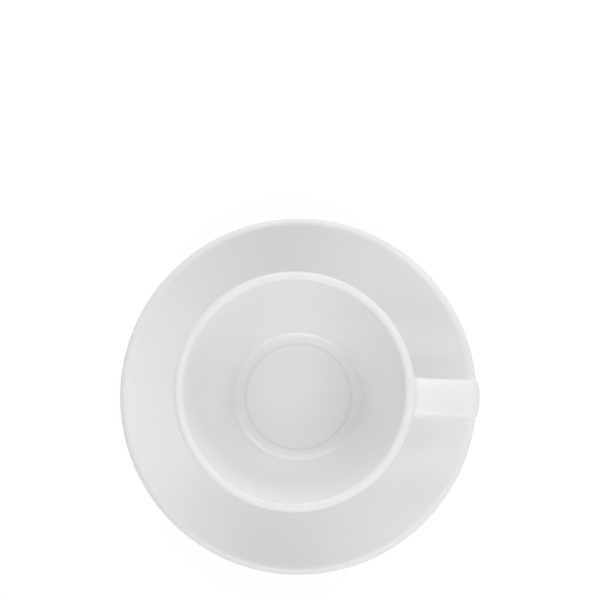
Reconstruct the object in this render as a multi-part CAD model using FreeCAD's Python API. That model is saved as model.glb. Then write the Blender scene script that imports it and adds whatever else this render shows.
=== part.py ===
"""Espresso cup with its saucer, in white glazed porcelain.

The set is three fired pieces of clay. The saucer is one. The cup is two: a conical body,
and a strap handle that was cast apart and luted to the body's wall.
The cup stands with its foot ring on the flat floor of the saucer's well, and lifts off.

Millimetres. +Z is up, the origin is on the table at the centre of the saucer, and the
handle points along +X. Profiles are drawn in the XZ plane and turned about the Z axis.
"""

import FreeCAD, Part
import math
import os

# Saucer, from the outside in.
SAUCER_RADIUS = 60.0
SAUCER_HEIGHT = 17.6
WING_THICKNESS = 4.2  # the edge is a full round of this thickness
WING_CURL = 10.0  # degrees by which the wing ends steeper than its own chord
LAND_WIDTH = 3.2  # flat land between the wing and the well
WELL_DEPTH = 1.3
WELL_WALL_RUN = 1.1  # how far the well's side leans outwards
WELL_ROUND = 1.2
WELL_CLEARANCE = 1.2  # gap round the cup's foot ring, in the well
SAUCER_BASE_THICKNESS = 4.0
SAUCER_FOOT_RADIUS = 36.0
SAUCER_FOOT_WIDTH = 3.2
SAUCER_RECESS_DEPTH = 2.2  # hollow under the base, inside the foot ring

# Cup body.
CUP_RADIUS = 38.45  # widest, just under the lip
CUP_HEIGHT = 51.8  # foot ring to lip
WALL_THICKNESS = 3.15
LIP_FLAT = 0.3  # what stays flat between the lip's inner and outer rounds
CUP_FOOT_RADIUS = 19.5
CUP_FOOT_WIDTH = 2.8
CUP_FOOT_HEIGHT = 2.0
BELLY_ROUND = 9.0  # turns the wall under, towards the foot ring
BELLY_TUCK = 3.1  # how far that round's centre lies inside the foot ring
CUP_RECESS_DEPTH = 2.0  # hollow inside the foot ring, at its edge
CUP_RECESS_RISE = 1.5  # how much deeper that hollow is in the middle
CUP_BASE_THICKNESS = 5.4
COVE_ROUND = 9.6  # turns the floor up, from the fine ring outwards
COVE_TURN = 24.0  # degrees, how steep the cove is where the inner wall starts
FLOOR_DOME_RISE = 1.3  # how high the floor swells inside the ring

# Handle.
HANDLE_REACH = 59.6  # from the cup's axis to the outside of the grip
HANDLE_DROP = 4.9  # from the lip to the top of the upper arm
HANDLE_WIDTH = 12.3
HANDLE_THICKNESS = 4.3
HANDLE_CROWN = 20.0  # radius of the strap's two swelling faces
UPPER_BEND = 5.2  # both bends are outer radii
LOWER_BEND = 13.0
HANDLE_RISE = 17.8  # from the cup's foot to the lowest level that the lower bend would reach
UPPER_ARM_FALL = 2.0  # degrees, on its way out
GRIP_LEAN = 11.0  # degrees, on its way down
LOWER_ARM_FALL = 8.0  # degrees, on its way in to the wall
LUTING_ROUND = 1.8  # fillet of slip where the handle meets the wall
LUTING_SINK = 0.25  # the fillet ends this deep in the wall, so that its rim isn't a feather
ROOT_BITE = 5.0  # how far the strap's blank reaches past the wall before it is cut off

# Foot rings.
FOOT_ROUND = 0.6
FOOT_BLEND = 0.9  # where a foot ring meets the underside

UP = FreeCAD.Vector(0, 0, 1)
DOWN = FreeCAD.Vector(0, 0, -1)
OUT = FreeCAD.Vector(1, 0, 0)
SIDEWAYS = FreeCAD.Vector(0, 1, 0)
ORIGIN = FreeCAD.Vector(0, 0, 0)
SAME_POINT = 1e-6  # points nearer than this are one
ON_SKIN = 1e-4  # a point nearer to a skin than this lies on it


def point(radius, height):
    """A point or a direction of a profile, in the XZ plane."""
    return FreeCAD.Vector(radius, 0, height)


def tilted(degrees):
    """The direction straight out from the axis, turned down by an angle."""
    angle = math.radians(degrees)
    return point(math.cos(angle), -math.sin(angle))


def arc(start, middle, end):
    return Part.Arc(start, middle, end).toShape()


def bend(centre, rounding, start, end):
    """The arc about a centre from one direction to another, the short way."""
    middle = (start + end).normalize()
    return arc(centre + start * rounding, centre + middle * rounding, centre + end * rounding)


def dome(top, rim):
    """The arc from the axis, level there, down to its rim."""
    rise = top.z - rim.z
    radius = (rim.x**2 + rise**2) / (2 * rise)
    half_way = math.asin(rim.x / radius) / 2
    return arc(top, top + point(math.sin(half_way), math.cos(half_way) - 1) * radius, rim)


def ends(piece):
    """The first and last point of an edge, or a point twice."""
    if isinstance(piece, FreeCAD.Vector):
        return piece, piece
    return piece.firstVertex().Point, piece.lastVertex().Point


def joined(pieces):
    """Edges through the points and arcs, in order, with straight edges between them."""
    edges = []
    reached = None
    for piece in pieces:
        start, end = ends(piece)
        if reached is not None and not start.isEqual(reached, SAME_POINT):
            edges.append(Part.LineSegment(reached, start).toShape())
        if isinstance(piece, Part.Edge):
            edges.append(piece)
        reached = end
    return edges


def turned(pieces):
    """The solid of revolution of a closed half profile. Its seam lies away from the handle."""
    face = Part.Face(Part.Wire(joined(pieces + [ends(pieces[0])[0]])))
    face.rotate(ORIGIN, UP, 180)
    return face.revolve(ORIGIN, UP, 360)


def ring_edge(solid, corner):
    """The circular edge that a corner of the profile draws."""

    def distance(edge):
        start = edge.firstVertex().Point
        return math.hypot(math.hypot(start.x, start.y) - corner.x, start.z - corner.z)

    real = [edge for edge in solid.Edges if not edge.Degenerated]
    return min((edge for edge in real if isinstance(edge.Curve, Part.Circle)), key=distance)


def round_rings(solid, rings):
    """Rounds the edges that corners of the profile draw, each with its own radius."""
    for corner, rounding in rings:
        solid = solid.makeFillet(rounding, [ring_edge(solid, corner)])
    return solid


# Levels that follow from the sizes above.
WELL_FLOOR_Z = SAUCER_RECESS_DEPTH + SAUCER_BASE_THICKNESS
LAND_Z = WELL_FLOOR_Z + WELL_DEPTH
LIP_Z = WELL_FLOOR_Z + CUP_HEIGHT
CUP_RECESS_Z = WELL_FLOOR_Z + CUP_RECESS_DEPTH
CUP_FLOOR_Z = CUP_RECESS_Z + CUP_BASE_THICKNESS

# The cup's outer wall is the line that touches the lip's round and the belly's round.
LIP_ROUND = (WALL_THICKNESS - LIP_FLAT) / 2
LIP_CENTRE = point(CUP_RADIUS - LIP_ROUND, LIP_Z - LIP_ROUND)
BELLY_CENTRE = point(CUP_FOOT_RADIUS - BELLY_TUCK, WELL_FLOOR_Z + CUP_FOOT_HEIGHT + BELLY_ROUND)
BELLY_TO_LIP = LIP_CENTRE - BELLY_CENTRE
WALL_LEAN = math.degrees(
    math.atan2(BELLY_TO_LIP.x, BELLY_TO_LIP.z)
    - math.asin((BELLY_ROUND - LIP_ROUND) / BELLY_TO_LIP.Length)
)
WALL_OUT = tilted(WALL_LEAN)  # square to the wall


def wall_radius(height):
    """Radius of the cup's outer wall at a height."""
    foot_of_wall = BELLY_CENTRE + WALL_OUT * BELLY_ROUND
    return foot_of_wall.x + (height - foot_of_wall.z) * math.tan(math.radians(WALL_LEAN))


def saucer():
    """A dished saucer: a well for the cup, a wing that curves up, and a foot ring."""
    well_corner = point(CUP_FOOT_RADIUS + WELL_CLEARANCE, WELL_FLOOR_Z)
    well_brim = point(well_corner.x + WELL_WALL_RUN, LAND_Z)
    wing_start = point(well_brim.x + LAND_WIDTH, LAND_Z)
    edge_round = WING_THICKNESS / 2
    edge_centre = point(SAUCER_RADIUS - edge_round, SAUCER_HEIGHT - edge_round)
    chord = edge_centre - wing_start
    slope = math.atan2(chord.z, chord.x) + math.radians(WING_CURL)
    inwards = point(-math.sin(slope), math.cos(slope))  # square to the wing, at its edge
    edge_top = edge_centre + inwards * edge_round
    edge_under = edge_centre - inwards * edge_round

    # The wing's top is the arc from the land that is square to that direction at the edge.
    span = edge_top - wing_start
    radius = -span.dot(span) / (2 * span.dot(inwards))
    centre = edge_top + inwards * radius

    def on_wing(x, depth):
        """The point at a radius, so deep under the wing's top."""
        return point(x, centre.z - math.sqrt((radius + depth) ** 2 - (x - centre.x) ** 2))

    foot_top = on_wing(SAUCER_FOOT_RADIUS, WING_THICKNESS)
    foot_outside = point(SAUCER_FOOT_RADIUS, 0)
    foot_inside = point(SAUCER_FOOT_RADIUS - SAUCER_FOOT_WIDTH, 0)
    recess_corner = point(foot_inside.x, SAUCER_RECESS_DEPTH)
    solid = turned([
        point(0, SAUCER_RECESS_DEPTH),
        point(0, WELL_FLOOR_Z),
        well_corner,
        well_brim,
        arc(wing_start, on_wing((wing_start.x + edge_top.x) / 2, 0), edge_top),
        bend(edge_centre, edge_round, inwards, OUT),
        bend(edge_centre, edge_round, OUT, inwards * -1),
        arc(edge_under, on_wing((edge_under.x + foot_top.x) / 2, WING_THICKNESS), foot_top),
        foot_outside,
        foot_inside,
        recess_corner,
    ])
    return round_rings(solid, [
        (well_corner, WELL_ROUND),
        (well_brim, WELL_ROUND),
        (foot_top, FOOT_BLEND),
        (foot_outside, FOOT_ROUND),
        (foot_inside, FOOT_ROUND),
        (recess_corner, FOOT_BLEND),
    ])


def cup_body():
    """A conical cup: a rounded lip, a swelling floor with a fine ring, and a foot ring."""
    inner_lip_centre = LIP_CENTRE - point(LIP_FLAT / WALL_OUT.x, 0)
    lip_inside = bend(inner_lip_centre, LIP_ROUND, WALL_OUT * -1, UP)
    inner_wall = ends(lip_inside)[0]
    cove_end = tilted(90 - COVE_TURN)
    corner_z = CUP_FLOOR_Z + COVE_ROUND * (1 + cove_end.z)
    floor_corner = point((inner_wall.dot(WALL_OUT) - corner_z * WALL_OUT.z) / WALL_OUT.x, corner_z)
    cove = bend(floor_corner - cove_end * COVE_ROUND, COVE_ROUND, DOWN, cove_end)
    floor_ring = ends(cove)[0]

    across = CUP_FOOT_RADIUS - BELLY_CENTRE.x
    foot_top = BELLY_CENTRE + point(across, -math.sqrt(BELLY_ROUND**2 - across**2))
    foot_outside = point(CUP_FOOT_RADIUS, WELL_FLOOR_Z)
    foot_inside = point(CUP_FOOT_RADIUS - CUP_FOOT_WIDTH, WELL_FLOOR_Z)
    recess_corner = point(foot_inside.x, CUP_RECESS_Z)
    recess_top = point(0, CUP_RECESS_Z + CUP_RECESS_RISE)
    floor_top = point(0, CUP_FLOOR_Z + FLOOR_DOME_RISE)
    foot_direction = (foot_top - BELLY_CENTRE).normalize()
    solid = turned([
        recess_top,
        dome(floor_top, floor_ring),
        cove,
        lip_inside,
        bend(LIP_CENTRE, LIP_ROUND, UP, WALL_OUT),
        bend(BELLY_CENTRE, BELLY_ROUND, WALL_OUT, foot_direction),
        foot_outside,
        foot_inside,
        recess_corner,
    ])
    return round_rings(solid, [
        (foot_top, FOOT_BLEND),
        (foot_outside, FOOT_ROUND),
        (foot_inside, FOOT_ROUND),
    ])


def outside_blank(inset):
    """The cup's outside as a full solid, drawn in by an inset."""
    lip = bend(LIP_CENTRE, LIP_ROUND - inset, UP, WALL_OUT)
    belly = bend(BELLY_CENTRE, BELLY_ROUND - inset, WALL_OUT, DOWN)
    return turned([point(0, ends(belly)[1].z), point(0, ends(lip)[0].z), lip, belly])


def strap_section(place, outwards):
    """The strap's section: two crowned faces, and sides that are the rounds touching both."""
    half_width = HANDLE_WIDTH / 2
    half_thickness = HANDLE_THICKNESS / 2
    side_round = (2 * HANDLE_CROWN * half_thickness - half_thickness**2 - half_width**2) / (
        2 * (HANDLE_CROWN - half_width)
    )
    edges = []
    for way in (1, -1):
        crown = place - outwards * way * (HANDLE_CROWN - half_thickness)
        other_crown = place + outwards * way * (HANDLE_CROWN - half_thickness)
        side = place + SIDEWAYS * way * (half_width - side_round)
        other_side = place - SIDEWAYS * way * (half_width - side_round)
        crown_start = (other_side - crown).normalize()
        crown_end = (side - crown).normalize()
        side_end = (side - other_crown).normalize()
        edges.append(bend(crown, HANDLE_CROWN, crown_start, crown_end))
        edges.append(bend(side, side_round, crown_end, side_end))
    return Part.Wire(edges)


def strap():
    """The strap swept along its middle line: upper arm, tight bend, grip, wide bend and lower
    arm. It starts and ends inside the cup's wall."""
    half = HANDLE_THICKNESS / 2
    arm_top = tilted(UPPER_ARM_FALL - 90)
    grip_outside = tilted(GRIP_LEAN)
    grip_down = tilted(GRIP_LEAN + 90)
    lower_under = tilted(90 - LOWER_ARM_FALL)

    root = point(wall_radius(LIP_Z - HANDLE_DROP), LIP_Z - HANDLE_DROP)
    upper_x = HANDLE_REACH - UPPER_BEND
    upper_z = root.z - (UPPER_BEND + (upper_x - root.x) * arm_top.x) / arm_top.z
    upper_centre = point(upper_x, upper_z)
    swing = grip_outside * (UPPER_BEND - LOWER_BEND)
    lower_z = WELL_FLOOR_Z + HANDLE_RISE + LOWER_BEND
    grip_length = (lower_z - upper_z - swing.z) / grip_down.z
    lower_centre = upper_centre + grip_down * grip_length + swing

    upper = bend(upper_centre, UPPER_BEND - half, arm_top, grip_outside)
    lower = bend(lower_centre, LOWER_BEND - half, grip_outside, lower_under)
    arm_start = ends(upper)[0]
    arm_end = ends(lower)[1]
    start = arm_start - tilted(UPPER_ARM_FALL) * (arm_start.x - root.x + ROOT_BITE)
    end = arm_end + tilted(180 - LOWER_ARM_FALL) * (arm_end.x - wall_radius(arm_end.z) + ROOT_BITE)
    path = Part.Wire(joined([start, upper, lower, end]))
    return path.makePipeShell([strap_section(start, arm_top)], True, False)


def lies_on(solid, place):
    """Whether a point lies on a solid's skin."""
    return Part.Vertex(place).distToShape(solid.Shells[0])[0] < ON_SKIN


def seams(fused, first, second):
    """The edges of a fused solid where the skins of the two solids in it cross."""
    found = []
    for edge in fused.Edges:
        if edge.Degenerated:
            continue
        middle = edge.valueAt((edge.FirstParameter + edge.LastParameter) / 2)
        if lies_on(first, middle) and lies_on(second, middle):
            found.append(edge)
    return found


def cup_handle():
    """The strap, with its fillet of slip at each root, cut to the wall that it is luted to."""
    seat = outside_blank(LUTING_SINK)
    blade = strap()
    fused = seat.fuse(blade)
    filleted = fused.makeFillet(LUTING_ROUND, seams(fused, seat, blade))
    return filleted.cut(outside_blank(0))


def save(name, shape):
    """Writes one sub-part, and prints its volume and its box."""
    shape.exportStep(os.path.join("parts", name + ".step"))
    box = shape.optimalBoundingBox(False)
    limits = [box.XMin, box.XMax, box.YMin, box.YMax, box.ZMin, box.ZMax]
    print(name, shape.isValid(), len(shape.Solids), round(shape.Volume), [round(v, 2) for v in limits])


def main():
    os.makedirs("parts", exist_ok=True)
    save("saucer", saucer())
    save("cup_body", cup_body())
    save("cup_handle", cup_handle())
    print("wall lean", round(WALL_LEAN, 2))


main()
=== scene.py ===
"""Espresso cup and saucer in white glazed porcelain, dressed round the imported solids.

The solids give every place and overall size. Each of the three pieces is made again as a smooth
mesh: the saucer and the cup's body are outlines turned about the Z axis, and the handle is a
strap swept along its path, which flares where it is luted to the cup's wall.

Metres. +Z is up, the origin is on the table at the saucer's centre, and the handle points
along +X. An outline's points are (radius, height).
"""

import math

import bpy
from bpy.props import FloatProperty, FloatVectorProperty, PointerProperty
from mathutils import Matrix, Vector


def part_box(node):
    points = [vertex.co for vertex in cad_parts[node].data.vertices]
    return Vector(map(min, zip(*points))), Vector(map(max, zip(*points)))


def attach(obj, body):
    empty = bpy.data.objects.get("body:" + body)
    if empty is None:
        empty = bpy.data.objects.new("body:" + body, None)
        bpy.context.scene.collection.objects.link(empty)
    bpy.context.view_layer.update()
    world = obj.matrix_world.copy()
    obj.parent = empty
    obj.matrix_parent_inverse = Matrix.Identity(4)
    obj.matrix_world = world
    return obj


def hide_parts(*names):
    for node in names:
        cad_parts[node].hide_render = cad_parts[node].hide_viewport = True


bl_info = {
    "name": "Espresso Cup and Saucer",
    "version": (1, 0, 0),
    "blender": (4, 5, 0),
    "location": "3D View > Sidebar > Cup and Saucer",
    "description": "Makes a white porcelain espresso cup, its saucer and a plain studio",
    "category": "Object",
}

MM = 0.001
LENGTH_DIGITS = 6  # decimals of a length in metres, down to a thousandth of a millimetre
SAME_POINT = 0.001 * MM
UP = Vector((0.0, 1.0))  # in an outline
DOWN = Vector((0.0, -1.0))

FOOT_ROUND = 0.6 * MM  # rounds both edges of a foot ring
FOOT_BLEND = 0.9 * MM  # blends a foot ring into what it stands under
KILN_WAVES = 22.0  # waves in a metre
KILN_DETAIL = 1.0
KILN_DEPTH = 0.05 * MM  # how far the clay sinks in the kiln, at most

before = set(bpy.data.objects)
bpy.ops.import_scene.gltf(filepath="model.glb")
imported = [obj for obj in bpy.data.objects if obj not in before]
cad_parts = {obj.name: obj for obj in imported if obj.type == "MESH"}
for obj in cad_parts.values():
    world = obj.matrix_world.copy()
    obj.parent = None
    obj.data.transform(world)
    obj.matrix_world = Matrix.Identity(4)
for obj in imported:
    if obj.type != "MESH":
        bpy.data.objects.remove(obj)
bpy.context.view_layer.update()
SAUCER_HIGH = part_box("saucer")[1]
CUP_LOW, CUP_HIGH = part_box("cup_body")
HANDLE_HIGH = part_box("cup_handle")[1]


# ---- Sizes and finishes ----

def length(name, description, default):
    """A size of a piece, in metres."""
    return FloatProperty(
        name=name,
        description=description,
        default=round(default, LENGTH_DIGITS),
        min=0.0,
        precision=LENGTH_DIGITS,
        unit="LENGTH",
        subtype="DISTANCE",
    )


def angle(name, description, degrees):
    """An angle of a piece."""
    return FloatProperty(
        name=name,
        description=description,
        default=math.radians(degrees),
        unit="ROTATION",
        subtype="ANGLE",
    )


def share(name, description, default):
    """A number from 0 to 1."""
    return FloatProperty(
        name=name, description=description, default=default, min=0.0, max=1.0, subtype="FACTOR"
    )


def colour(name, description, default):
    """A colour, as linear red, green and blue."""
    return FloatVectorProperty(
        name=name,
        description=description,
        default=default,
        size=3,
        min=0.0,
        max=1.0,
        subtype="COLOR",
    )


class SaucerSizes(bpy.types.PropertyGroup):
    """What sets the saucer's outline."""

    radius: length("Radius", "From the axis to the outside of the edge", SAUCER_HIGH.x)
    height: length("Height", "From the table to the top of the edge", SAUCER_HIGH.z)
    wing_thickness: length("Wing Thickness", "The edge is a full round of it", 4.2 * MM)
    wing_curl: angle("Wing Curl", "How much steeper the wing ends than its chord", 10.0)
    land_width: length("Land Width", "Flat land between the wing and the well", 3.2 * MM)
    well_depth: length("Well Depth", "From the land down to the well's floor", 1.3 * MM)
    well_wall_run: length("Well Wall Run", "How far the well's side leans out", 1.1 * MM)
    well_round: length("Well Round", "Rounds the well's brim and its corner", 1.2 * MM)
    well_clearance: length("Well Clearance", "Gap round the cup's foot ring", 1.2 * MM)
    land_round: length("Land Round", "Eases the land into the wing", 8.0 * MM)
    foot_radius: length("Foot Radius", "Outside of the foot ring", 36.0 * MM)
    foot_width: length("Foot Width", "Across the foot ring", 3.2 * MM)
    recess_depth: length("Recess Depth", "Hollow inside the foot ring", 2.2 * MM)


class CupSizes(bpy.types.PropertyGroup):
    """What sets the outline of the cup's body."""

    radius: length("Radius", "Widest, just under the lip", CUP_HIGH.x)
    stand: length("Stand", "Level of the well's floor that the foot ring stands on", CUP_LOW.z)
    top: length("Top", "Level of the lip's top", CUP_HIGH.z)
    wall_thickness: length("Wall Thickness", "Thickness of the lip and the wall", 3.15 * MM)
    lip_flat: length("Lip Flat", "What stays flat on top of the lip", 0.3 * MM)
    foot_radius: length("Foot Radius", "Outside of the foot ring", 19.5 * MM)
    foot_width: length("Foot Width", "Across the foot ring", 2.8 * MM)
    foot_height: length("Foot Height", "From the well's floor to the belly's lowest", 2.0 * MM)
    belly_round: length("Belly Round", "Turns the wall under, towards the foot", 9.0 * MM)
    belly_tuck: length("Belly Tuck", "How far that round's centre lies inside the foot", 3.1 * MM)
    recess_depth: length("Recess Depth", "Hollow inside the foot ring, at its edge", 2.0 * MM)
    recess_rise: length("Recess Rise", "How much deeper the hollow's middle is", 1.5 * MM)
    base_thickness: length("Base Thickness", "From the hollow's edge to the floor's ring", 5.4 * MM)
    cove_round: length("Cove Round", "Turns the floor up, from the fine ring outwards", 9.6 * MM)
    cove_turn: angle("Cove Turn", "How steep the cove is where the wall starts", 24.0)
    corner_round: length("Corner Round", "Eases the corner of the cove and the wall", 0.5 * MM)
    floor_rise: length("Floor Rise", "How high the floor swells inside the fine ring", 1.3 * MM)
    ring_round: length("Ring Round", "Eases the bottom of the fine ring", 0.3 * MM)


class HandleSizes(bpy.types.PropertyGroup):
    """What sets the handle's path and its section."""

    reach: length("Reach", "From the cup's axis to the outside of the grip", HANDLE_HIGH.x)
    drop: length("Drop", "From the lip's top to the upper arm's top", 4.9 * MM)
    width: length("Width", "Across the strap, at its waist", 12.1 * MM)
    thickness: length("Thickness", "Through the strap's middle", 4.3 * MM)
    crown: length("Crown", "Radius of the strap's two swelling faces", 20.0 * MM)
    upper_bend: length("Upper Bend", "Outer radius of the upper bend", 5.2 * MM)
    lower_bend: length("Lower Bend", "Outer radius of the lower bend", 13.0 * MM)
    rise: length("Rise", "From the cup's foot to the lower bend's lowest level", 17.8 * MM)
    upper_fall: angle("Upper Arm Fall", "On its way out", 2.0)
    grip_lean: angle("Grip Lean", "Inwards, on its way down", 11.0)
    lower_fall: angle("Lower Arm Fall", "On its way in to the wall", 8.0)
    luting_round: length("Luting Round", "Fillet of slip on the cup's wall", 1.8 * MM)
    root_spread: length("Root Spread", "How much wider the strap is at its root", 1.45 * MM)
    root_swell: length("Root Swell", "How much thicker and rounder the strap is there", 1.3 * MM)
    root_fade: length("Root Fade", "How far from the root two thirds of that are gone", 4.2 * MM)
    grip_spread: length("Grip Spread", "How much wider the strap is at the grip", 0.4 * MM)


class GlazeLook(bpy.types.PropertyGroup):
    """Colours and gloss of the glaze, and of the bare clay under the foot rings."""

    glaze: colour("Glaze", "White of an even coat", (0.925, 0.925, 0.923))
    # Pooled glaze grey, also used as painted shade that darkens creases and hollows
    pooled: colour("Pooled Glaze", "Where glaze gathers in hollows", (0.80, 0.806, 0.81))
    thinned: colour("Thinned Glaze", "Where glaze draws off edges", (0.90, 0.897, 0.89))
    bare: colour("Bare Clay", "Fired clay wiped free of glaze", (0.74, 0.715, 0.67))
    speck: colour("Speck", "Iron specks under the glaze", (0.42, 0.37, 0.31))
    gloss_roughness: share("Gloss Roughness", "Roughness of the glaze", 0.07)
    bare_roughness: share("Bare Roughness", "Roughness of the bare clay", 0.72)
    ripple: length("Ripple", "Height of the glaze's fine ripples", 0.015 * MM)
    wiped_height: length("Wiped Height", "How far up the foot rings are bare", 0.35 * MM)


class StudioLook(bpy.types.PropertyGroup):
    """The lights' level, the room's light and the camera."""

    light_level: FloatProperty(
        name="Light Level", description="Multiplies every softbox", default=1.0, min=0.0
    )
    surround: share("Surround", "Light of the room round the softboxes", 0.44)
    camera_height: length("Camera Height", "Above the table", 800.0 * MM)
    camera_right: length("Camera Right", "How far it stands towards the handle", 24.7 * MM)
    camera_front: length("Camera Front", "How far it stands in front of the axis", 27.5 * MM)
    camera_aim: length("Camera Aim", "Level on the axis that it looks at", 20.0 * MM)
    camera_roll: angle("Camera Roll", "Turns the picture", 2.26)
    camera_lens: FloatProperty(
        name="Camera Lens", description="Focal length", default=140.1, unit="CAMERA"
    )
    shift_x: FloatProperty(name="Shift X", description="In widths of the picture", default=0.004)
    shift_y: FloatProperty(name="Shift Y", description="In widths of the picture", default=0.1597)


# ---- Outlines ----

ARC_STEP = math.radians(7.5)  # an arc turns by this much at most between two points
LONGEST_STEP = 1.2 * MM  # between two points of an outline
GUARD = 0.12 * MM  # from the end of a round to the point that keeps the shading beside it plain
SAUCER_SEGMENTS = 288
CUP_SEGMENTS = 256
CREASE_REACH = 0.4 * MM  # how far along the skin a bend makes a crease
CREASE_SCALE = 1.0 * MM  # a hollow of this radius counts as one whole crease
CORNER_REACH = 1.2 * MM  # how far along the skin a corner's bends are added up
OPEN_CORNER = 0.45  # radians; a hollow that turns by more gets little pooled glaze and painted crease shade how sharply the pooled glaze and painted shade end at that turn
CORNER_FALL = 6  # how sharply the pooling ends at that turn


def tilted(turn):
    """The direction straight out from the axis, turned down by an angle."""
    return Vector((math.cos(turn), -math.sin(turn)))


def arc(centre, rounding, start, end):
    """Points of the arc about a centre from one direction to another, the short way."""
    first = math.atan2(start.y, start.x)
    turn = math.remainder(math.atan2(end.y, end.x) - first, math.tau)
    steps = max(2, math.ceil(abs(turn) / ARC_STEP), math.ceil(abs(turn) * rounding / LONGEST_STEP))
    found = []
    for step in range(steps + 1):
        at = first + turn * step / steps
        found.append(centre + Vector((math.cos(at), math.sin(at))) * rounding)
    return found


def dome(top, rim):
    """Points of the arc from the axis, level there, down to its rim."""
    rise = top.y - rim.y
    radius = (rim.x**2 + rise**2) / (2 * rise)
    centre = top + DOWN * radius
    return arc(centre, radius, UP, rim - centre)


def eased(outline, corner, rounding):
    """The outline with one of its corners rounded. A point close to each end of the round keeps
    the shading of the stretch beside it plain."""
    at = min(range(len(outline)), key=lambda index: (outline[index] - corner).length)
    coming = (outline[at] - outline[at - 1]).normalized()
    going = (outline[at + 1] - outline[at]).normalized()
    turn = math.acos(max(-1.0, min(1.0, coming.dot(going))))
    cut = rounding * math.tan(turn / 2)
    before = [point for point in outline[:at] if (point - corner).length > cut + 2 * GUARD]
    after = [point for point in outline[at + 1 :] if (point - corner).length > cut + 2 * GUARD]
    before.append(corner - coming * (cut + GUARD))
    after.insert(0, corner + going * (cut + GUARD))
    inwards = (going - coming).normalized()
    centre = corner + inwards * (rounding / math.cos(turn / 2))
    start = corner - coming * cut - centre
    end = corner + going * cut - centre
    return before + arc(centre, rounding, start, end) + after


def divided(points, longest):
    """A row of points with its long stretches divided, and no point twice."""
    found = [points[0]]
    for point in points[1:]:
        start = found[-1]
        span = point - start
        if span.length < SAME_POINT:
            continue
        steps = math.ceil(span.length / longest)
        found.extend(start + span * (step / steps) for step in range(1, steps + 1))
    return found


def creases(outline):
    """How hollow, above 0, or how sharp, below 0, the skin is at each point of an outline that
    keeps the clay on its right. A hollow that turns by much counts for little."""
    bends = [0.0]
    for before, here, after in zip(outline, outline[1:], outline[2:]):
        coming, going = here - before, after - here
        turn = math.atan2(coming.x * going.y - coming.y * going.x, coming.dot(going))
        bends.append(turn)
    bends.append(0.0)
    places = [0.0]
    for before, here in zip(outline, outline[1:]):
        places.append(places[-1] + (here - before).length)
    found = []
    for place in places:
        total = corner = 0.0
        for other, bend in zip(places, bends):
            total += bend * math.exp(-(((place - other) / CREASE_REACH) ** 2))
            corner += bend * math.exp(-(((place - other) / CORNER_REACH) ** 2))
        bending = total / (CREASE_REACH * math.sqrt(math.pi))
        if corner > 0.0:
            bending /= 1.0 + (corner / OPEN_CORNER) ** CORNER_FALL
        found.append(max(-1.0, min(1.0, bending * CREASE_SCALE)))
    return found


def saucer_outline(saucer, cup):
    """The saucer's half profile, from the middle of the well to the middle of the recess."""
    well_corner = Vector((cup.foot_radius + saucer.well_clearance, cup.stand))
    well_brim = well_corner + Vector((saucer.well_wall_run, saucer.well_depth))
    wing_start = well_brim + Vector((saucer.land_width, 0.0))
    edge_round = saucer.wing_thickness / 2
    edge_centre = Vector((saucer.radius - edge_round, saucer.height - edge_round))
    chord = edge_centre - wing_start
    slope = math.atan2(chord.y, chord.x) + saucer.wing_curl
    inwards = Vector((-math.sin(slope), math.cos(slope)))

    # The wing's top is the arc that starts at the land and meets the edge at that slope.
    span = edge_centre + inwards * edge_round - wing_start
    bow = -span.dot(span) / (2 * span.dot(inwards))
    bow_centre = edge_centre + inwards * (edge_round + bow)

    under = bow + saucer.wing_thickness
    foot_reach = saucer.foot_radius - bow_centre.x
    foot_top = bow_centre + Vector((foot_reach, -math.sqrt(under**2 - foot_reach**2)))
    foot_outside = Vector((saucer.foot_radius, 0.0))
    foot_inside = Vector((saucer.foot_radius - saucer.foot_width, 0.0))
    recess_corner = Vector((foot_inside.x, saucer.recess_depth))
    outline = [
        Vector((0.0, cup.stand)),
        well_corner,
        well_brim,
        *arc(bow_centre, bow, wing_start - bow_centre, -inwards),
        *arc(edge_centre, edge_round, inwards, tilted(0.0)),
        *arc(edge_centre, edge_round, tilted(0.0), -inwards),
        *arc(bow_centre, under, -inwards, foot_top - bow_centre),
        foot_outside,
        foot_inside,
        recess_corner,
        Vector((0.0, saucer.recess_depth)),
    ]
    for corner, rounding in (
        (well_corner, saucer.well_round),
        (well_brim, saucer.well_round),
        (wing_start, saucer.land_round),
        (foot_top, FOOT_BLEND),
        (foot_outside, FOOT_ROUND),
        (foot_inside, FOOT_ROUND),
        (recess_corner, FOOT_BLEND),
    ):
        outline = eased(outline, corner, rounding)
    return divided(outline, LONGEST_STEP)


class CupWall:
    """The straight line of the cup's outer wall, which touches the lip's and the belly's rounds."""

    def __init__(self, cup):
        self.lip_round = (cup.wall_thickness - cup.lip_flat) / 2
        self.lip_centre = Vector((cup.radius - self.lip_round, cup.top - self.lip_round))
        self.belly_centre = Vector(
            (cup.foot_radius - cup.belly_tuck, cup.stand + cup.foot_height + cup.belly_round)
        )
        across = self.lip_centre - self.belly_centre
        closing = math.asin((cup.belly_round - self.lip_round) / across.length)
        self.lean = math.atan2(across.x, across.y) - closing
        self.outwards = tilted(self.lean)
        self.foot = self.belly_centre + self.outwards * cup.belly_round

    def radius_at(self, height):
        """The wall's radius at a level."""
        return self.foot.x + (height - self.foot.y) * math.tan(self.lean)


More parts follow.
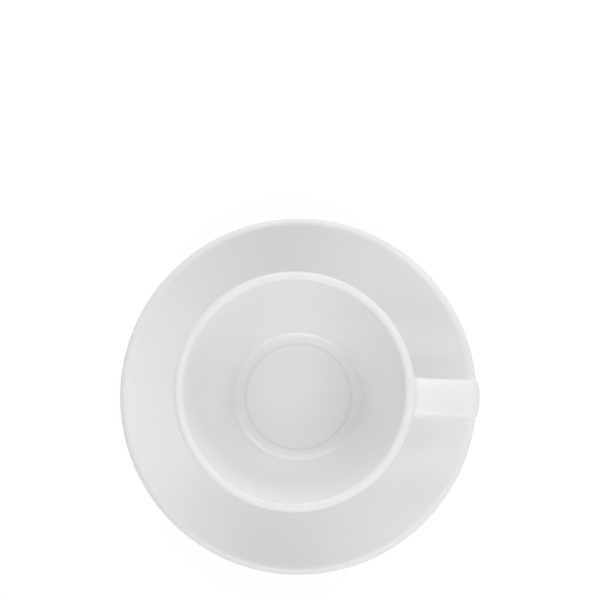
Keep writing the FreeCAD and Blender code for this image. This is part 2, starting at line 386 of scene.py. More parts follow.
def cup_outline(cup):
    """The half profile of the cup's body, from the middle of its floor to that of its recess."""
    wall = CupWall(cup)
    recess_z = cup.stand + cup.recess_depth
    floor_z = recess_z + cup.base_thickness
    inner_lip_centre = wall.lip_centre - Vector((cup.lip_flat / wall.outwards.x, 0.0))
    inner_wall = inner_lip_centre - wall.outwards * wall.lip_round
    cove_end = tilted(math.pi / 2 - cup.cove_turn)
    corner_z = floor_z + cup.cove_round * (1 + cove_end.y)
    reach = inner_wall.dot(wall.outwards) - corner_z * wall.outwards.y
    floor_corner = Vector((reach / wall.outwards.x, corner_z))
    cove_centre = floor_corner - cove_end * cup.cove_round
    floor_ring = cove_centre + DOWN * cup.cove_round

    across = cup.foot_radius - wall.belly_centre.x
    foot_drop = math.sqrt(cup.belly_round**2 - across**2)
    foot_top = wall.belly_centre + Vector((across, -foot_drop))
    foot_outside = Vector((cup.foot_radius, cup.stand))
    foot_inside = Vector((cup.foot_radius - cup.foot_width, cup.stand))
    recess_corner = Vector((foot_inside.x, recess_z))
    outline = [
        *dome(Vector((0.0, floor_z + cup.floor_rise)), floor_ring)[:-1],
        *arc(cove_centre, cup.cove_round, DOWN, cove_end),
        *arc(inner_lip_centre, wall.lip_round, -wall.outwards, UP),
        *arc(wall.lip_centre, wall.lip_round, UP, wall.outwards),
        *arc(wall.belly_centre, cup.belly_round, wall.outwards, foot_top - wall.belly_centre),
        foot_outside,
        foot_inside,
        *reversed(dome(Vector((0.0, recess_z + cup.recess_rise)), recess_corner)),
    ]
    for corner, rounding in (
        (floor_ring, cup.ring_round),
        (floor_corner, cup.corner_round),
        (foot_top, FOOT_BLEND),
        (foot_outside, FOOT_ROUND),
        (foot_inside, FOOT_ROUND),
        (recess_corner, FOOT_BLEND),
    ):
        outline = eased(outline, corner, rounding)
    return divided(outline, LONGEST_STEP)


# ---- Node trees ----

class Tree:
    """A node tree that is written as a list of steps."""

    def __init__(self, tree):
        self.tree = tree

    def feed(self, socket, value):
        """Sets an input, or joins another node's output to it."""
        if isinstance(value, bpy.types.NodeSocket):
            self.tree.links.new(value, socket)
        else:
            socket.default_value = value

    def add(self, kind, inputs=None, **settings):
        """Adds a node with its settings and inputs."""
        node = self.tree.nodes.new(kind)
        for name, value in settings.items():
            setattr(node, name, value)
        for name, value in (inputs or {}).items():
            self.feed(node.inputs[name], value)
        return node

    def math(self, operation, *terms):
        """The result of a Math node."""
        return self.add("ShaderNodeMath", dict(enumerate(terms)), operation=operation).outputs[0]

    def vector(self, operation, *terms, output="Vector"):
        """The result of a Vector Math node."""
        node = self.add("ShaderNodeVectorMath", dict(enumerate(terms)), operation=operation)
        return node.outputs[output]

    def scaled(self, vector, factor):
        """A vector times a number."""
        inputs = {"Vector": vector, "Scale": factor}
        return self.add("ShaderNodeVectorMath", inputs, operation="SCALE").outputs["Vector"]

    def named(self, name, kind="FLOAT"):
        """A named attribute of the geometry."""
        return self.add(
            "GeometryNodeInputNamedAttribute", {"Name": name}, data_type=kind
        ).outputs["Attribute"]

    def store(self, geometry, name, value, kind="FLOAT"):
        """The geometry with a value kept at its points under a name."""
        return self.add(
            "GeometryNodeStoreNamedAttribute",
            {"Geometry": geometry, "Name": name, "Value": value},
            data_type=kind,
            domain="POINT",
        ).outputs["Geometry"]


def new_group(name, kind, inputs, outputs):
    """A node group with its sockets, each as (name, type, default). Returns its tree, its inputs
    and its output node."""
    group = bpy.data.node_groups.new(name, kind)
    for direction, sockets in (("INPUT", inputs), ("OUTPUT", outputs)):
        for title, socket_type, *default in sockets:
            socket = group.interface.new_socket(
                title, in_out=direction, socket_type="NodeSocket" + socket_type
            )
            if default:
                socket.default_value = default[0]
    tree = Tree(group)
    return tree, tree.add("NodeGroupInput").outputs, tree.add("NodeGroupOutput")


def finish_tree(tree, out, geometry, material):
    """Ends a geometry tree: smooth faces, real geometry and a material."""
    shaded = tree.add("GeometryNodeSetShadeSmooth", {"Geometry": geometry})
    real = tree.add("GeometryNodeRealizeInstances", {"Geometry": shaded.outputs["Geometry"]})
    dressed = tree.add(
        "GeometryNodeSetMaterial", {"Geometry": real.outputs["Geometry"], "Material": material}
    )
    tree.feed(out.inputs["Geometry"], dressed.outputs["Geometry"])


def settled(tree, geometry, depth):
    """The skin drawn in here and there by up to a depth, as clay sinks a little in the kiln."""
    position = tree.add("GeometryNodeInputPosition").outputs["Position"]
    inputs = {"Vector": position, "Scale": KILN_WAVES, "Detail": KILN_DETAIL}
    wave = tree.add("ShaderNodeTexNoise", inputs).outputs["Fac"]
    normal = tree.add("GeometryNodeInputNormal").outputs["Normal"]
    inwards = tree.scaled(normal, tree.math("MULTIPLY", tree.math("MULTIPLY", wave, depth), -1.0))
    inputs = {"Geometry": geometry, "Offset": inwards}
    return tree.add("GeometryNodeSetPosition", inputs).outputs[0]


def turned_tree():
    """Turns an outline about the Z axis."""
    tree, given, out = new_group(
        "Turned Outline",
        "GeometryNodeTree",
        [
            ("Geometry", "Geometry"),
            ("Segments", "Int", CUP_SEGMENTS),
            ("Kiln Depth", "Float", KILN_DEPTH),
            ("Material", "Material"),
        ],
        [("Geometry", "Geometry")],
    )
    count = tree.add(
        "GeometryNodeAttributeDomainSize", {"Geometry": given["Geometry"]}, component="MESH"
    ).outputs["Point Count"]
    columns = tree.math("ADD", given["Segments"], 1.0)
    grid = tree.add("GeometryNodeMeshGrid", {"Vertices X": count, "Vertices Y": columns})
    index = tree.add("GeometryNodeInputIndex").outputs["Index"]
    point = tree.math("FLOOR", tree.math("DIVIDE", tree.math("ADD", index, 0.5), columns))
    segment = tree.math("SUBTRACT", index, tree.math("MULTIPLY", point, columns))
    turn = tree.math("DIVIDE", tree.math("MULTIPLY", segment, math.tau), given["Segments"])

    def sampled(value, kind):
        return tree.add(
            "GeometryNodeSampleIndex",
            {"Geometry": given["Geometry"], "Value": value, "Index": point},
            data_type=kind,
        ).outputs["Value"]

    profile = sampled(tree.add("GeometryNodeInputPosition").outputs[0], "FLOAT_VECTOR")
    place = tree.add(
        "ShaderNodeVectorRotate", {"Vector": profile, "Angle": turn}, rotation_type="Z_AXIS"
    ).outputs["Vector"]
    crease = sampled(tree.named("crease"), "FLOAT")
    marked = tree.store(grid.outputs["Mesh"], "crease", crease)
    placed = tree.add("GeometryNodeSetPosition", {"Geometry": marked, "Position": place}).outputs[0]
    merged = tree.add("GeometryNodeMergeByDistance", {"Geometry": placed, "Distance": SAME_POINT})
    skin = settled(tree, merged.outputs["Geometry"], given["Kiln Depth"])
    finish_tree(tree, out, skin, given["Material"])
    return tree.tree


def strap_tree():
    """Sweeps a section along a path whose first and last rings flare onto the cup's wall.

    A root ring's flare runs from 0 on the strap to 1 on the wall. It turns along the round that
    touches both, in the plane of the strap's length and the skin's outward direction."""
    tree, given, out = new_group(
        "Luted Strap",
        "GeometryNodeTree",
        [
            ("Geometry", "Geometry"),
            ("Section", "Object"),
            ("Wall Radius", "Float"),
            ("Wall Lean", "Float"),
            ("Luting Round", "Float"),
            ("Kiln Depth", "Float", KILN_DEPTH),
            ("Material", "Material"),
        ],
        [("Geometry", "Geometry")],
    )
    path = tree.add("GeometryNodeMeshToCurve", {"Mesh": given["Geometry"]}).outputs["Curve"]
    straight = tree.add(
        "GeometryNodeSetCurveNormal", {"Curve": path, "Normal": (0.0, 1.0, 0.0)}, mode="FREE"
    )
    tangent = tree.add("GeometryNodeInputTangent").outputs["Tangent"]
    marked = tree.store(straight.outputs["Curve"], "along", tangent, "FLOAT_VECTOR")
    place = tree.add("GeometryNodeInputPosition").outputs["Position"]
    marked = tree.store(marked, "centre", place, "FLOAT_VECTOR")
    section = tree.add("GeometryNodeObjectInfo", {"Object": given["Section"]}).outputs["Geometry"]
    ring = tree.add("GeometryNodeMeshToCurve", {"Mesh": section}).outputs["Curve"]
    sweep = tree.add(
        "GeometryNodeCurveToMesh", {"Curve": marked, "Profile Curve": ring, "Fill Caps": True}
    ).outputs["Mesh"]

    # The width and the thickness change along the path.
    position = tree.add("GeometryNodeInputPosition").outputs["Position"]
    centre = tree.named("centre", "FLOAT_VECTOR")
    thick = tree.math("MULTIPLY_ADD", tree.named("swell"), tree.named("fuller"), 1.0)
    stretch = tree.add("ShaderNodeCombineXYZ", {"X": thick, "Y": tree.named("spread"), "Z": thick})
    section_place = tree.vector("SUBTRACT", position, centre)
    stretched = tree.vector("MULTIPLY_ADD", section_place, stretch.outputs["Vector"], centre)
    blade = tree.add("GeometryNodeSetPosition", {"Geometry": sweep, "Position": stretched})

    # The wall's outward direction beside each point, and the strap's two directions there.
    sine = tree.math("SINE", given["Wall Lean"])
    cosine = tree.math("COSINE", given["Wall Lean"])
    flat = tree.vector("MULTIPLY", position, (1.0, 1.0, 0.0))
    radius = tree.vector("LENGTH", flat, output="Value")
    level = tree.scaled(tree.vector("NORMALIZE", flat), cosine)
    falling = tree.add("ShaderNodeCombineXYZ", {"Z": tree.math("MULTIPLY", sine, -1.0)}).outputs[0]
    wall_out = tree.vector("ADD", level, falling)
    slope = tree.math("TANGENT", given["Wall Lean"])
    height = tree.add("ShaderNodeSeparateXYZ", {"Vector": position}).outputs["Z"]
    wall_radius = tree.math("MULTIPLY_ADD", height, slope, given["Wall Radius"])
    gap = tree.math("MULTIPLY", tree.math("SUBTRACT", radius, wall_radius), cosine)
    along = tree.named("along", "FLOAT_VECTOR")
    facing = tree.math("SIGN", tree.vector("DOT_PRODUCT", along, wall_out, output="Value"))
    away = tree.scaled(along, facing)
    normal = tree.add("GeometryNodeInputNormal").outputs["Normal"]
    slip = tree.vector("DOT_PRODUCT", normal, away, output="Value")
    outwards = tree.vector("NORMALIZE", tree.vector("SUBTRACT", normal, tree.scaled(away, slip)))

    # The round that touches the strap's skin and the wall.
    rounding = given["Luting Round"]
    leaving = tree.vector("DOT_PRODUCT", away, wall_out, output="Value")
    rising = tree.vector("DOT_PRODUCT", outwards, wall_out, output="Value")
    squares = tree.math("MULTIPLY_ADD", leaving, leaving, tree.math("MULTIPLY", rising, rising))
    both = tree.math("SQRT", squares)
    start = tree.math("MULTIPLY", rounding, tree.math("SUBTRACT", both, rising))
    start = tree.math("DIVIDE", start, leaving)
    whole_turn = tree.math("ARCCOSINE", tree.math("DIVIDE", rising, both))
    flare = tree.named("flare")
    turn = tree.math("MULTIPLY", whole_turn, tree.math("MINIMUM", flare, 1.0))
    far = tree.math("SUBTRACT", start, tree.math("MULTIPLY", rounding, tree.math("SINE", turn)))
    lift = tree.math("MULTIPLY", rounding, tree.math("SUBTRACT", 1.0, tree.math("COSINE", turn)))
    slide = tree.math("SUBTRACT", far, tree.math("DIVIDE", gap, leaving))
    rooted = tree.vector(
        "ADD", position, tree.vector("ADD", tree.scaled(away, slide), tree.scaled(outwards, lift))
    )
    selected = tree.math("GREATER_THAN", flare, 0.0)
    inputs = {"Geometry": blade.outputs[0], "Selection": selected, "Position": rooted}
    flared = tree.add("GeometryNodeSetPosition", inputs).outputs[0]
    skin = settled(tree, flared, given["Kiln Depth"])
    finish_tree(tree, out, skin, given["Material"])
    return tree.tree


def line_object(name, points, attributes, closed=False):
    """A row of joined points as a mesh with no faces, with numbers kept at each point."""
    edges = [(index, index + 1) for index in range(len(points) - 1)]
    if closed:
        edges.append((len(points) - 1, 0))
    mesh = bpy.data.meshes.new(name)
    mesh.from_pydata(points, edges, [])
    for key, values in attributes.items():
        mesh.attributes.new(key, "FLOAT", "POINT").data.foreach_set("value", values)
    made = bpy.data.objects.new(name, mesh)
    bpy.context.scene.collection.objects.link(made)
    return made


def grown(made, tree, values):
    """The object after a geometry tree, as a plain mesh in its place."""
    modifier = made.modifiers.new(tree.name, "NODES")
    modifier.node_group = tree
    for item in tree.interface.items_tree:
        if item.item_type == "SOCKET" and item.in_out == "INPUT" and item.name in values:
            modifier[item.identifier] = values[item.name]
    scene_state = bpy.context.evaluated_depsgraph_get()
    mesh = bpy.data.meshes.new_from_object(
        made.evaluated_get(scene_state), preserve_all_data_layers=True, depsgraph=scene_state
    )
    made.modifiers.remove(modifier)
    made.data = mesh
    mesh.name = made.name
    return made


def dress(piece, node, body):
    """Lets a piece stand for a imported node, and ride on its body."""
    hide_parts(node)
    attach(piece, body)


# ---- Glaze ----

COATS = ("Glaze", "Pooled", "Thinned", "Bare", "Speck")

# How fine each pattern is, in repeats in a metre.
CLOUD_SCALE = 45.0
RIPPLE_SCALE = 160.0
FINE_RIPPLE_SCALE = 420.0
GRAIN_SCALE = 900.0
WIPE_SCALE = 1500.0
SAND_SCALE = 3500.0
SPECK_SCALE = 110.0
SPECK_SHIFT = (0.003, 0.004, 0.0)  # moves the specks off the middle of the cup's floor
NOISE_DETAIL = 2.0

# Where a value begins to count and where it counts whole, and the share that it then has.
CLOUDED, CLOUDED_SHARE = (0.35, 0.75), 0.09
# Hollows darken towards the pooled grey: partly pooled glaze, partly painted crease shade
POOLED_AND_SHADED, POOLED_AND_SHADED_SHARE = (0.12, 0.3), 0.9
THINNING, THINNING_SHARE = (-0.05, -0.8), 0.7
SPECKED, SPECKED_SHARE = (0.022, 0.012), 0.7
GRAINED, GRAINED_SHARE = (0.3, 0.7), 0.0875
WIPE_EDGE = (0.06 * MM, -0.06 * MM)
WIPE_WANDER = 0.15 * MM  # how far the edge of the glaze runs up and down

GLOSS_CHANGE = 0.03  # how much rougher the glaze is in its clouds
BARE_CHANGE = 0.1  # how much rougher the bare clay is in its grain
FINE_RIPPLE = 0.3  # heights, as shares of the ripple's
SPECK_DIP = 0.5
SAND = 1.5
GLAZE_IOR = 1.5
MIX_FIRST, MIX_SECOND, MIX_RESULT = 6, 7, 2  # a Mix node's sockets for colours


def glaze_group():
    """The finish of glazed ware: its colour, roughness and height over the surface."""
    tree, given, out = new_group(
        "Glazed Ware",
        "ShaderNodeTree",
        [
            ("Vector", "Vector"),
            ("Crease", "Float"),
            *((name, "Color") for name in COATS),
            ("Gloss Roughness", "Float"),
            ("Bare Roughness", "Float"),
            ("Foot Level", "Float"),
        ],
        [
            ("Color", "Color"),
            ("Roughness", "Float"),
            ("Height", "Float"),
        ],
    )

    def noise(scale):
        inputs = {"Vector": given["Vector"], "Scale": scale, "Detail": NOISE_DETAIL}
        return tree.add("ShaderNodeTexNoise", inputs).outputs["Fac"]

    def mixed(factor, first, second):
        inputs = {"Factor": factor, MIX_FIRST: first, MIX_SECOND: second}
        return tree.add("ShaderNodeMix", inputs, data_type="RGBA").outputs[MIX_RESULT]

    def ranged(value, span, reached=1.0):
        inputs = {"Value": value, "From Min": span[0], "From Max": span[1], "To Max": reached}
        node = tree.add("ShaderNodeMapRange", inputs, interpolation_type="SMOOTHSTEP")
        return node.outputs["Result"]

    cloud = noise(CLOUD_SCALE)
    grain = noise(GRAIN_SCALE)
    even = mixed(ranged(cloud, CLOUDED, CLOUDED_SHARE), given["Glaze"], given["Pooled"])
    # Painted shade in creases and hollows, partly real pooled glaze: the colour darkens towards the
    # pooled grey
    even = mixed(ranged(given["Crease"], POOLED_AND_SHADED, POOLED_AND_SHADED_SHARE), even, given["Pooled"])
    even = mixed(ranged(given["Crease"], THINNING, THINNING_SHARE), even, given["Thinned"])
    shifted = tree.vector("ADD", given["Vector"], SPECK_SHIFT)
    speckled = tree.add("ShaderNodeTexVoronoi", {"Vector": shifted, "Scale": SPECK_SCALE})
    speck = ranged(speckled.outputs["Distance"], SPECKED)
    even = mixed(tree.math("MULTIPLY", speck, SPECKED_SHARE), even, given["Speck"])

    height = tree.add("ShaderNodeSeparateXYZ", {"Vector": given["Vector"]}).outputs["Z"]
    line = tree.math("MULTIPLY_ADD", noise(WIPE_SCALE), WIPE_WANDER, given["Foot Level"])
    bare = ranged(tree.math("SUBTRACT", height, line), WIPE_EDGE)
    clay = mixed(ranged(grain, GRAINED, GRAINED_SHARE), given["Bare"], given["Speck"])
    tree.feed(out.inputs["Color"], mixed(bare, even, clay))

    gloss = tree.math("MULTIPLY_ADD", cloud, GLOSS_CHANGE, given["Gloss Roughness"])
    sanded = tree.math("MULTIPLY_ADD", grain, BARE_CHANGE, given["Bare Roughness"])
    rough = tree.add("ShaderNodeMix", {"Factor": bare, "A": gloss, "B": sanded})
    tree.feed(out.inputs["Roughness"], rough.outputs["Result"])

    fine = tree.math("MULTIPLY", noise(FINE_RIPPLE_SCALE), FINE_RIPPLE)
    ripples = tree.math("ADD", noise(RIPPLE_SCALE), fine)
    ripples = tree.math("SUBTRACT", ripples, tree.math("MULTIPLY", speck, SPECK_DIP))
    sand = tree.math("MULTIPLY", noise(SAND_SCALE), SAND)
    relief = tree.add("ShaderNodeMix", {"Factor": bare, "A": ripples, "B": sand})
    tree.feed(out.inputs["Height"], relief.outputs["Result"])
    return tree.tree


def white_glaze(name, foot_level):
    """White glaze on porcelain, left off up to a level at the foot ring."""
    look = bpy.context.scene.glaze_look
    group = bpy.data.node_groups.get("Glazed Ware") or glaze_group()
    material = bpy.data.materials.new(name)
    material.use_nodes = True
    tree = Tree(material.node_tree)
    shader = material.node_tree.nodes["Principled BSDF"]
    place = tree.add("ShaderNodeTexCoord").outputs["Object"]
    crease = tree.add("ShaderNodeAttribute", attribute_name="crease").outputs["Fac"]
    inputs = {
        **{name: (*getattr(look, name.lower()), 1.0) for name in COATS},
        "Vector": place,
        "Crease": crease,
        "Gloss Roughness": look.gloss_roughness,
        "Bare Roughness": look.bare_roughness,
        "Foot Level": foot_level + look.wiped_height,
    }
    ware = tree.add("ShaderNodeGroup", inputs, node_tree=group).outputs
    bump = tree.add("ShaderNodeBump", {"Height": ware["Height"], "Distance": look.ripple})
    tree.feed(shader.inputs["Base Color"], ware["Color"])
    tree.feed(shader.inputs["Roughness"], ware["Roughness"])
    tree.feed(shader.inputs["Normal"], bump.outputs["Normal"])
    tree.feed(shader.inputs["IOR"], GLAZE_IOR)
    return material


# ---- Pieces ----

def turned(name, outline, segments, material):
    """A piece turned from its outline."""
    points = [(point.x, 0.0, point.y) for point in outline]
    line = line_object(name, points, {"crease": creases(outline)})
    tree = bpy.data.node_groups.get("Turned Outline") or turned_tree()
    return grown(line, tree, {"Segments": segments, "Kiln Depth": KILN_DEPTH, "Material": material})


class ESPRESSO_OT_saucer(bpy.types.Operator):
    """Make the saucer as one turned piece"""

    bl_idname = "espresso.saucer"
    bl_label = "Make Saucer"

    def execute(self, context):
        scene = context.scene
        outline = saucer_outline(scene.saucer_sizes, scene.cup_sizes)
        glaze = white_glaze("saucer_glaze", 0.0)
        piece = turned("glazed_saucer", outline, SAUCER_SEGMENTS, glaze)
        dress(piece, "saucer", "saucer")
        return {"FINISHED"}


def cup_glaze(cup):
    """The glaze that the cup's body and its handle share."""
    return bpy.data.materials.get("cup_glaze") or white_glaze("cup_glaze", cup.stand)


class ESPRESSO_OT_cup_body(bpy.types.Operator):
    """Make the cup's body as one turned piece"""

    bl_idname = "espresso.cup_body"
    bl_label = "Make Cup Body"

    def execute(self, context):
        cup = context.scene.cup_sizes
        piece = turned("glazed_cup_body", cup_outline(cup), CUP_SEGMENTS, cup_glaze(cup))
        dress(piece, "cup_body", "cup")
        return {"FINISHED"}


ROOT_RINGS = 14  # rings of points that flare onto the wall
ROOT_LENGTH = 3.3 * MM  # how much of the strap they take up
STRAP_STEP = 0.5 * MM  # between two points of the path
GRIP_FADE = 7.0 * MM  # over which the strap widens towards the grip


def strap_path(cup, handle):
    """The middle line of the strap, from the wall at its upper root to the wall at its lower."""
    wall = CupWall(cup)
    half = handle.thickness / 2
    quarter = math.pi / 2
    arm_top = tilted(handle.upper_fall - quarter)
    grip_outside = tilted(handle.grip_lean)
    grip_down = tilted(handle.grip_lean + quarter)
    lower_under = tilted(quarter - handle.lower_fall)

    root_z = cup.top - handle.drop
    root_x = wall.radius_at(root_z)
    upper_x = handle.reach - handle.upper_bend
    upper_z = root_z - (handle.upper_bend + (upper_x - root_x) * arm_top.x) / arm_top.y
    upper_centre = Vector((upper_x, upper_z))
    swing = grip_outside * (handle.upper_bend - handle.lower_bend)
    lower_z = cup.stand + handle.rise + handle.lower_bend
    grip_length = (lower_z - upper_z - swing.y) / grip_down.y
    lower_centre = upper_centre + grip_down * grip_length + swing

    upper = arc(upper_centre, handle.upper_bend - half, arm_top, grip_outside)
    lower = arc(lower_centre, handle.lower_bend - half, grip_outside, lower_under)
    starts = []
    for end, towards in (
        (upper[0], -tilted(handle.upper_fall)),
        (lower[-1], tilted(math.pi - handle.lower_fall)),
    ):
        short = (end.x - wall.radius_at(end.y)) * wall.outwards.x / -towards.dot(wall.outwards)
        starts.append(end + towards * short)
    return starts[0], upper, lower, starts[1]


def smooth(value):
    """Eases a number from 0 to 1."""
    value = max(0.0, min(1.0, value))
    return value * value * (3 - 2 * value)


def strap_stations(cup, handle):
    """The path's points, and at each its flare, its swell and its width as a share of the waist."""
    upper_root, upper, lower, lower_root = strap_path(cup, handle)
    path = divided([upper_root, *upper, *lower, lower_root], STRAP_STEP)
    first = [point for point in path if (point - upper_root).length > ROOT_LENGTH]
    middle = [point for point in first if (point - lower_root).length > ROOT_LENGTH]
    out = (upper[0] - upper_root).normalized()
    back = (lower[-1] - lower_root).normalized()
    step = ROOT_LENGTH / (ROOT_RINGS + 1)
    rings = [(1.0 - ring / ROOT_RINGS, step * (ring + 1)) for ring in range(ROOT_RINGS)]
    stations = [(upper_root + out * place, flare) for flare, place in rings]
    stations += [(point, 0.0) for point in middle]
    stations += [(lower_root + back * place, flare) for flare, place in reversed(rings)]
    points, flares = zip(*stations)
    spread, swell = [], []
    grip = handle.reach - handle.upper_bend - GRIP_FADE
    for point in points:
        near = min((point - upper_root).length, (point - lower_root).length)
        swell.append(math.exp(-near / handle.root_fade))
        extra = handle.root_spread * swell[-1]
        extra += handle.grip_spread * smooth((point.x - grip) / GRIP_FADE)
        spread.append(1.0 + extra / handle.width)
    return points, flares, swell, spread


def strap_section(handle):
    """The strap's section: two crowned faces, and sides that are the rounds touching both."""
    half_width = handle.width / 2
    half = handle.thickness / 2
    crown = handle.crown
    side_round = (2 * crown * half - half**2 - half_width**2) / (2 * (crown - half_width))
    side = Vector((half_width - side_round, 0.0))
    found = []
    for way in (1, -1):
        centre = Vector((0.0, -way * (crown - half)))
        start = side * way - centre
        end = side * -way - centre
        found.extend(arc(centre, crown, start, end)[:-1])
        found.extend(arc(side * -way, side_round, end, side * -way + centre)[:-1])
    return found


def fuller(handle, point):
    """How much further out a point of the section lies at the root, where the strap is oval."""
    across = min(1.0, abs(point.x) / (handle.width / 2))
    oval = (handle.thickness + handle.root_swell) / 2 * math.sqrt(1 - across**2)
    return oval / abs(point.y) - 1 if abs(point.y) > SAME_POINT else 0.0


class ESPRESSO_OT_cup_handle(bpy.types.Operator):
    """Make the handle as a swept strap, luted to the cup's wall"""

    bl_idname = "espresso.cup_handle"
    bl_label = "Make Cup Handle"

    def execute(self, context):
        cup = context.scene.cup_sizes
        handle = context.scene.handle_sizes
        wall = CupWall(cup)
        points, flares, swell, spread = strap_stations(cup, handle)
        path = line_object(
            "glazed_handle",
            [(point.x, 0.0, point.y) for point in points],
            {"flare": flares, "swell": swell, "spread": spread},
        )
        outline = strap_section(handle)
        section = line_object(
            "handle_section",
            [(point.x, point.y, 0.0) for point in outline],
            {"fuller": [fuller(handle, point) for point in outline]},
            closed=True,
        )
        piece = grown(
            path,
            strap_tree(),
            {
                "Section": section,
                "Wall Radius": wall.radius_at(0.0),
                "Wall Lean": wall.lean,
                "Luting Round": handle.luting_round,
                "Kiln Depth": KILN_DEPTH,
                "Material": cup_glaze(cup),
            },
        )
        bpy.data.objects.remove(section)
        dress(piece, "cup_handle", "cup")
        return {"FINISHED"}


# ---- Studio ----

# Name, azimuth from the handle's direction and elevation in degrees, width and height in metres,
# and power in watts.
SOFTBOXES = (
    ("front_key", -90.0, 52.0, 1.2, 0.34, 2.45),
    ("rear_key", 90.0, 52.0, 1.2, 0.34, 1.9),
    ("front_far_side", -105.0, 50.0, 0.6, 0.36, 0.7),
    ("rear_far_side", 105.0, 50.0, 0.6, 0.36, 0.45),
    ("front_handle_side", -45.0, 50.0, 0.4, 0.3, 0.65),
    ("rear_handle_side", 45.0, 50.0, 0.4, 0.3, 0.7),
    ("rear_low", 90.0, 14.0, 0.8, 0.3, 1.8),
    ("front_strip", -45.0, 8.0, 1.2, 0.22, 1.1),
    ("rear_strip", 45.0, 8.0, 1.2, 0.22, 0.6),
)
SOFTBOX_DISTANCE = 1.1  # metres from the middle of the table
CAMERA_NEAR = 10.0 * MM  # nothing nearer to the camera is seen
FLOOR_REACH = 3.0  # metres from its middle to each side
FLOOR_ALBEDO = 0.45  # how much light it gives back to the ware
FLOOR_LIFT = 0.3  # what it gives besides, which keeps the underside from going dark
FLOOR_SHADE = 0.2  # how much light the camera sees it give back, so that shadows show
FLOOR_GLOW = 0.85  # the rest of the white that the camera sees


def softbox(name, azimuth, elevation, width, height, power):
    """A large soft light that faces the cup."""
    lamp = bpy.data.lights.new(name, "AREA")
    lamp.shape = "RECTANGLE"
    lamp.size = width
    lamp.size_y = height
    lamp.energy = power
    made = bpy.data.objects.new(name, lamp)
    bpy.context.scene.collection.objects.link(made)
    turn, rise = math.radians(azimuth), math.radians(elevation)
    level = math.cos(rise)
    back = Vector((math.cos(turn) * level, math.sin(turn) * level, math.sin(rise)))
    made.location = back * SOFTBOX_DISTANCE
    made.rotation_euler = back.to_track_quat("Z", "Y").to_euler()
    made.visible_camera = False


def grey(level):
    """A neutral colour."""
    return (level, level, level, 1.0)


def looked_at(tree):
    """1 for what is seen straight, in gloss or through glass, and 0 for what only gives light."""
    rays = tree.add("ShaderNodeLightPath").outputs
    seen = tree.math("MAXIMUM", rays["Is Camera Ray"], rays["Is Glossy Ray"])
    return tree.math("MAXIMUM", seen, rays["Is Transmission Ray"])


def make_floor():
    """A plain pale floor, white to the camera, that keeps the cup's shadow."""
    mesh = bpy.data.meshes.new("studio_floor")
    corners = [(-FLOOR_REACH, -FLOOR_REACH), (FLOOR_REACH, -FLOOR_REACH)]
    corners += [(-x, -y) for x, y in corners]
    mesh.from_pydata([(x, y, 0.0) for x, y in corners], [], [(0, 1, 2, 3)])
    floor = bpy.data.objects.new("studio_floor", mesh)
    bpy.context.scene.collection.objects.link(floor)
    material = bpy.data.materials.new("studio_floor")
    material.use_nodes = True
    material.node_tree.nodes.clear()
    tree = Tree(material.node_tree)

    def lit(albedo, glow):
        back = tree.add("ShaderNodeBsdfDiffuse", {"Color": grey(albedo)}).outputs[0]
        own = tree.add("ShaderNodeEmission", {"Color": grey(1.0), "Strength": glow}).outputs[0]
        return tree.add("ShaderNodeAddShader", {0: back, 1: own}).outputs[0]

    above = tree.add(
        "ShaderNodeMixShader",
        {0: looked_at(tree), 1: lit(FLOOR_ALBEDO, FLOOR_LIFT), 2: lit(FLOOR_SHADE, FLOOR_GLOW)},
    )
    under = tree.add("ShaderNodeNewGeometry").outputs["Backfacing"]
    clear = tree.add("ShaderNodeBsdfTransparent")
    whole = tree.add("ShaderNodeMixShader", {0: under, 1: above.outputs[0], 2: clear.outputs[0]})
    end = tree.add("ShaderNodeOutputMaterial")
    tree.feed(end.inputs["Surface"], whole.outputs[0])
    mesh.materials.append(material)


def make_world(surround):
    """A room that lights the cup at one plain level and looks white."""
    world = bpy.data.worlds.new("studio_room")
    bpy.context.scene.world = world
    world.use_nodes = True
    world.node_tree.nodes.clear()
    tree = Tree(world.node_tree)
    level = tree.add("ShaderNodeMix", {"Factor": looked_at(tree), "A": surround, "B": 1.0})
    room = tree.add(
        "ShaderNodeBackground", {"Color": grey(1.0), "Strength": level.outputs["Result"]}
    )
    end = tree.add("ShaderNodeOutputWorld")
    tree.feed(end.inputs["Surface"], room.outputs[0])


def make_camera(look):
    """The camera, nearly straight over the cup."""
    data = bpy.data.cameras.new("studio_camera")
    data.lens = look.camera_lens
    data.shift_x = look.shift_x
    data.shift_y = look.shift_y
    data.clip_start = CAMERA_NEAR
    camera = bpy.data.objects.new("studio_camera", data)
    bpy.context.scene.collection.objects.link(camera)
    place = Vector((look.camera_right, -look.camera_front, look.camera_height))
    back = (place - Vector((0.0, 0.0, look.camera_aim))).normalized()
    upright = Vector((-math.sin(look.camera_roll), math.cos(look.camera_roll), 0.0))
    upright = (upright - back * upright.dot(back)).normalized()
    axes = Matrix((upright.cross(back), upright, back)).transposed()
    camera.matrix_world = Matrix.Translation(place) @ axes.to_4x4()
    bpy.context.scene.camera = camera


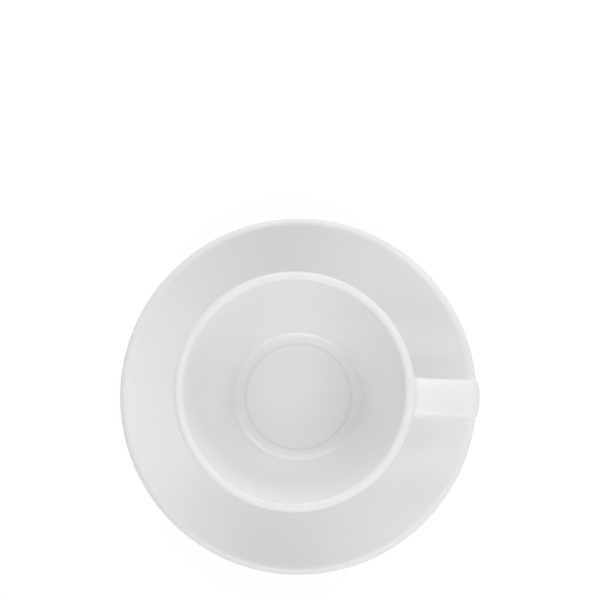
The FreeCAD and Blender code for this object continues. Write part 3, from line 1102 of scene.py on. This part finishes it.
class ESPRESSO_OT_studio(bpy.types.Operator):
    """Make the floor, the room, the softboxes and the camera"""

    bl_idname = "espresso.studio"
    bl_label = "Make Studio"

    def execute(self, context):
        look = context.scene.studio_look
        context.scene.view_settings.view_transform = "Standard"
        make_floor()
        make_world(look.surround)
        for name, azimuth, elevation, width, height, power in SOFTBOXES:
            softbox(name, azimuth, elevation, width, height, power * look.light_level)
        make_camera(look)
        return {"FINISHED"}


# ---- Add-on ----

SETTINGS = (
    ("saucer_sizes", SaucerSizes, "espresso.saucer"),
    ("cup_sizes", CupSizes, "espresso.cup_body"),
    ("handle_sizes", HandleSizes, "espresso.cup_handle"),
    ("glaze_look", GlazeLook, None),
    ("studio_look", StudioLook, "espresso.studio"),
)


class ESPRESSO_PT_panel(bpy.types.Panel):
    """Sizes and finishes of the cup and saucer, and what makes them"""

    bl_idname = "ESPRESSO_PT_panel"
    bl_label = "Cup and Saucer"
    bl_space_type = "VIEW_3D"
    bl_region_type = "UI"
    bl_category = "Cup and Saucer"

    def draw(self, context):
        for holder, kind, operator in SETTINGS:
            box = self.layout.box()
            settings = getattr(context.scene, holder)
            for name in kind.__annotations__:
                box.prop(settings, name)
            if operator:
                box.operator(operator)


CLASSES = (
    *(kind for _, kind, _ in SETTINGS),
    ESPRESSO_OT_saucer,
    ESPRESSO_OT_cup_body,
    ESPRESSO_OT_cup_handle,
    ESPRESSO_OT_studio,
    ESPRESSO_PT_panel,
)


def register():
    for kind in CLASSES:
        bpy.utils.register_class(kind)
    for holder, kind, _ in SETTINGS:
        setattr(bpy.types.Scene, holder, PointerProperty(type=kind))


def unregister():
    for holder, _, _ in SETTINGS:
        delattr(bpy.types.Scene, holder)
    for kind in reversed(CLASSES):
        bpy.utils.unregister_class(kind)


def main():
    """Makes the cup, the saucer and the studio."""
    register()
    bpy.ops.espresso.saucer()
    bpy.ops.espresso.cup_body()
    bpy.ops.espresso.cup_handle()
    bpy.ops.espresso.studio()


if __name__ == "__main__":
    main()
